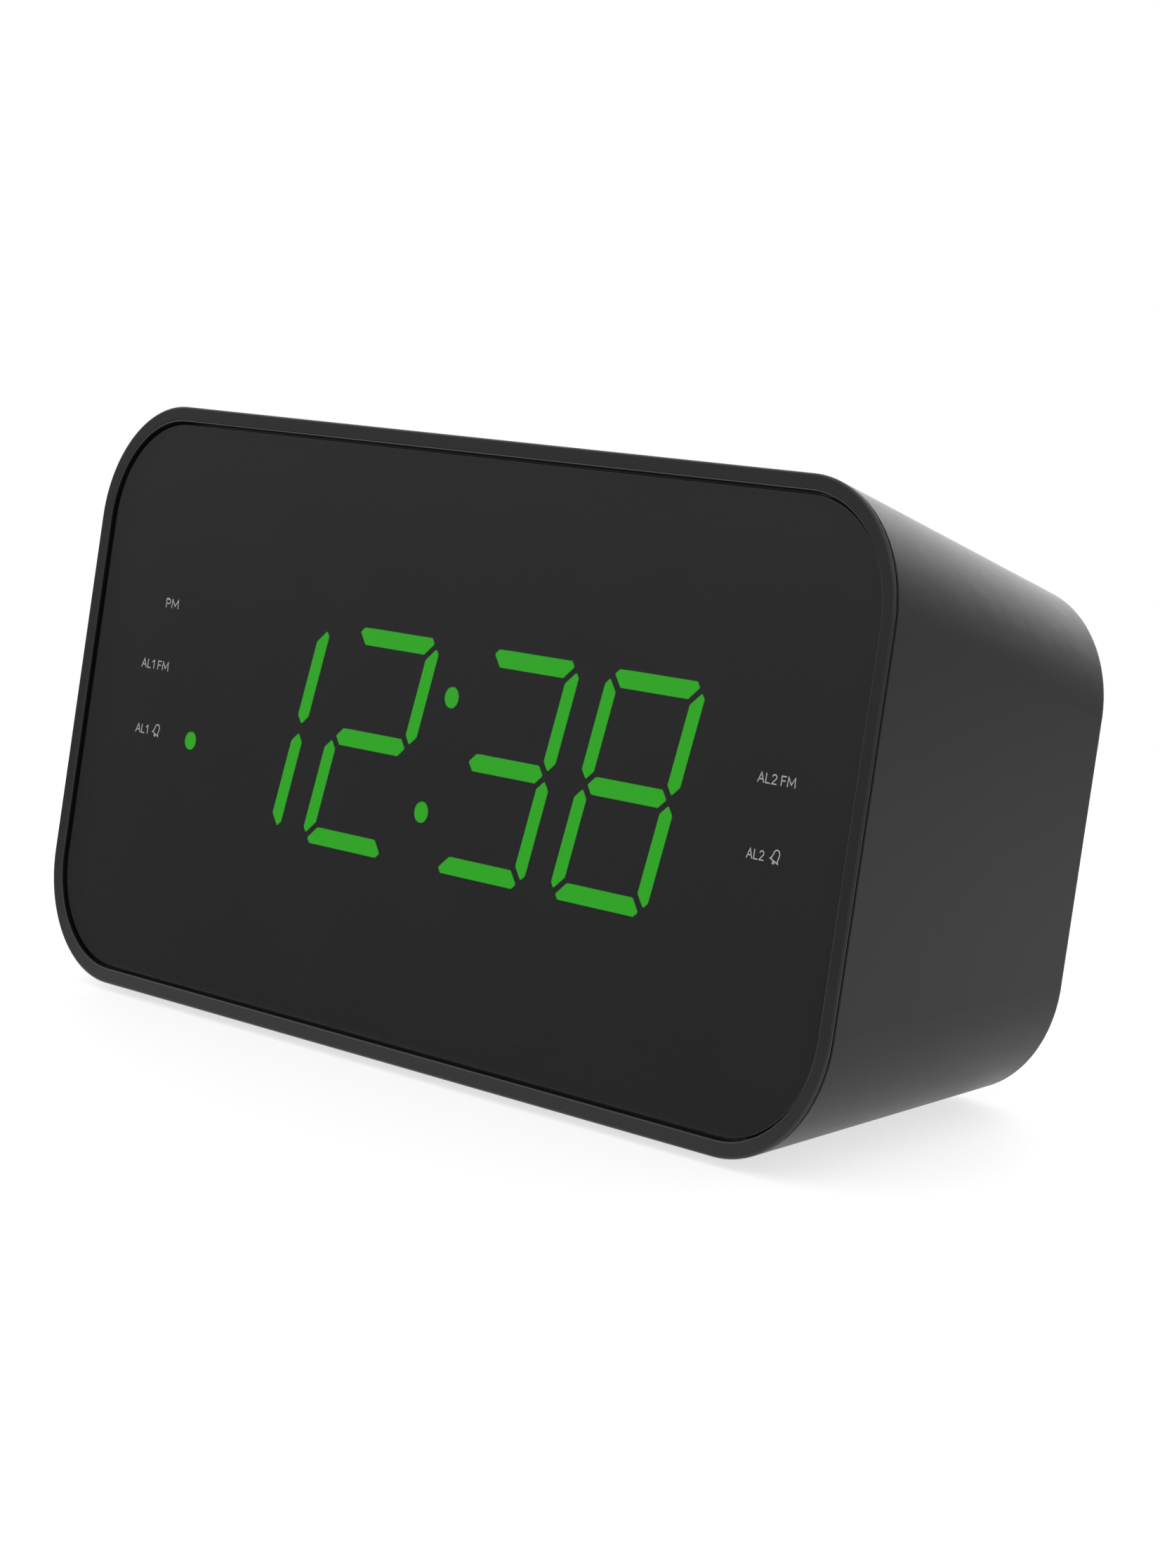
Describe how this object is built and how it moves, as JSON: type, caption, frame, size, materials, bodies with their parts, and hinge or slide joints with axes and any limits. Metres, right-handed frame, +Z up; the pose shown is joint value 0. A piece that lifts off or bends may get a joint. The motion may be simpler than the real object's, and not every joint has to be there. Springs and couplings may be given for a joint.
{
  "type": "clock radio",
  "caption": "Bedside clock radio: tapered satin black housing that leans back, smoked window with a green LED clock, keys on top, loudspeaker and battery door behind.",
  "frame": {"origin": "on the table, under the centre of the radio's bounding box", "axes": "+X to the right of someone who reads the clock, along the width; +Y from the face towards the back; +Z up"},
  "size_m": [0.18, 0.0681, 0.0917],
  "materials": {
    "housing_plastic": "satin black moulded plastic with a very fine grain",
    "bezel_plastic": "satin black moulded plastic",
    "smoked_acrylic": "polished smoked acrylic",
    "foam_tape": "thin double-sided foam tape",
    "lit_green": "diffusing light guide, lit green",
    "unlit_guide": "diffusing light guide, unlit, behind a dark film",
    "reflector_black": "matt black moulding",
    "led_white": "small surface-mounted lamp",
    "circuit_board": "green solder mask",
    "zinc_steel": "zinc-plated steel",
    "key_plastic": "satin black key caps",
    "switch_plastic": "black switch body",
    "chip_epoxy": "moulded epoxy",
    "tin_plate": "tinned or nickel-plated steel",
    "socket_nylon": "natural nylon",
    "capacitor_sleeve": "dark shrink sleeve",
    "panel_plastic": "matt black moulded plastic with a light spark texture",
    "cell_label": "plain dark cell jacket",
    "socket_plastic": "black socket body",
    "black_rubber": "matt black rubber",
    "speaker_steel": "pressed steel, dark plated",
    "speaker_paper": "black pressed paper",
    "copper_wire": "enamelled copper",
    "woven_spider": "resin-stiffened woven cloth",
    "ferrite": "sintered ferrite",
    "ribbon_grey": "grey flat cable",
    "legend_ink": "pale grey printed ink for the legends and key symbols"
  },
  "bodies": {
    "radio": {"housing_shell": "housing_plastic", "front_bezel": "bezel_plastic", "smoked_lens": "smoked_acrylic", "lens_tape": "foam_tape", "lit_segments": "lit_green", "colon_dots": "lit_green", "lit_indicators": "lit_green", "unlit_segments": "unlit_guide", "unlit_indicators": "unlit_guide", "display_reflector": "reflector_black", "display_leds": "led_white", "display_board": "circuit_board", "key_board": "circuit_board", "main_board": "circuit_board", "display_board_screws": "zinc_steel", "reflector_screws": "zinc_steel", "key_board_screws": "zinc_steel", "main_board_screws": "zinc_steel", "rear_screws": "zinc_steel", "speaker_screws": "zinc_steel", "key_switches": "switch_plastic", "clock_chip": "chip_epoxy", "amplifier_chip": "chip_epoxy", "tuner_can": "tin_plate", "quartz_crystal": "tin_plate", "battery_plates": "tin_plate", "battery_springs": "tin_plate", "power_socket_pin": "tin_plate", "board_sockets": "socket_nylon", "capacitors": "capacitor_sleeve", "rear_panel": "panel_plastic", "battery_bay": "panel_plastic", "backup_cells": "cell_label", "power_socket": "socket_plastic", "aerial_grommet": "black_rubber", "rubber_feet": "black_rubber", "speaker_surround": "black_rubber", "speaker_gasket": "black_rubber", "speaker_frame": "speaker_steel", "speaker_top_plate": "speaker_steel", "speaker_yoke": "speaker_steel", "speaker_cone": "speaker_paper", "dust_cap": "speaker_paper", "voice_coil": "copper_wire", "speaker_spider": "woven_spider", "speaker_magnet": "ferrite", "display_ribbon": "ribbon_grey", "key_ribbon": "ribbon_grey"},
    "snooze_bar": {"snooze_bar": "key_plastic"},
    "power_key": {"power_key": "key_plastic"},
    "sleep_key": {"sleep_key": "key_plastic"},
    "alarm_one_key": {"alarm_one_key": "key_plastic"},
    "alarm_two_key": {"alarm_two_key": "key_plastic"},
    "tune_down_key": {"tune_down_key": "key_plastic"},
    "tune_up_key": {"tune_up_key": "key_plastic"},
    "volume_down_key": {"volume_down_key": "key_plastic"},
    "volume_up_key": {"volume_up_key": "key_plastic"},
    "set_time_key": {"set_time_key": "key_plastic"},
    "dimmer_key": {"dimmer_key": "key_plastic"},
    "battery_door": {"battery_door": "panel_plastic"}
  },
  "joints": [
    {"name": "snooze_bar_press", "type": "slide", "parent": "radio", "child": "snooze_bar", "axis": [0, -0.3584, -0.9336], "range_m": [0, 0.0008], "stiffness_N_per_m": 900},
    {"name": "power_key_press", "type": "slide", "parent": "radio", "child": "power_key", "axis": [0, -0.3584, -0.9336], "range_m": [0, 0.0006], "stiffness_N_per_m": 450},
    {"name": "sleep_key_press", "type": "slide", "parent": "radio", "child": "sleep_key", "axis": [0, -0.3584, -0.9336], "range_m": [0, 0.0006], "stiffness_N_per_m": 450},
    {"name": "alarm_one_key_press", "type": "slide", "parent": "radio", "child": "alarm_one_key", "axis": [0, -0.3584, -0.9336], "range_m": [0, 0.0006], "stiffness_N_per_m": 450},
    {"name": "alarm_two_key_press", "type": "slide", "parent": "radio", "child": "alarm_two_key", "axis": [0, -0.3584, -0.9336], "range_m": [0, 0.0006], "stiffness_N_per_m": 450},
    {"name": "tune_down_key_press", "type": "slide", "parent": "radio", "child": "tune_down_key", "axis": [0, -0.3584, -0.9336], "range_m": [0, 0.0006], "stiffness_N_per_m": 450},
    {"name": "tune_up_key_press", "type": "slide", "parent": "radio", "child": "tune_up_key", "axis": [0, -0.3584, -0.9336], "range_m": [0, 0.0006], "stiffness_N_per_m": 450},
    {"name": "volume_down_key_press", "type": "slide", "parent": "radio", "child": "volume_down_key", "axis": [0, -0.3584, -0.9336], "range_m": [0, 0.0006], "stiffness_N_per_m": 450},
    {"name": "volume_up_key_press", "type": "slide", "parent": "radio", "child": "volume_up_key", "axis": [0, -0.3584, -0.9336], "range_m": [0, 0.0006], "stiffness_N_per_m": 450},
    {"name": "set_time_key_press", "type": "slide", "parent": "radio", "child": "set_time_key", "axis": [0, -0.3584, -0.9336], "range_m": [0, 0.0006], "stiffness_N_per_m": 450},
    {"name": "dimmer_key_press", "type": "slide", "parent": "radio", "child": "dimmer_key", "axis": [0, -0.3584, -0.9336], "range_m": [0, 0.0006], "stiffness_N_per_m": 450},
    {"name": "battery_door_hinge", "type": "hinge", "parent": "radio", "child": "battery_door", "pos_m": [-0.04, 0.02514, 0.03275], "axis": [-1, 0, 0], "range_deg": [0, 85]}
  ]
}
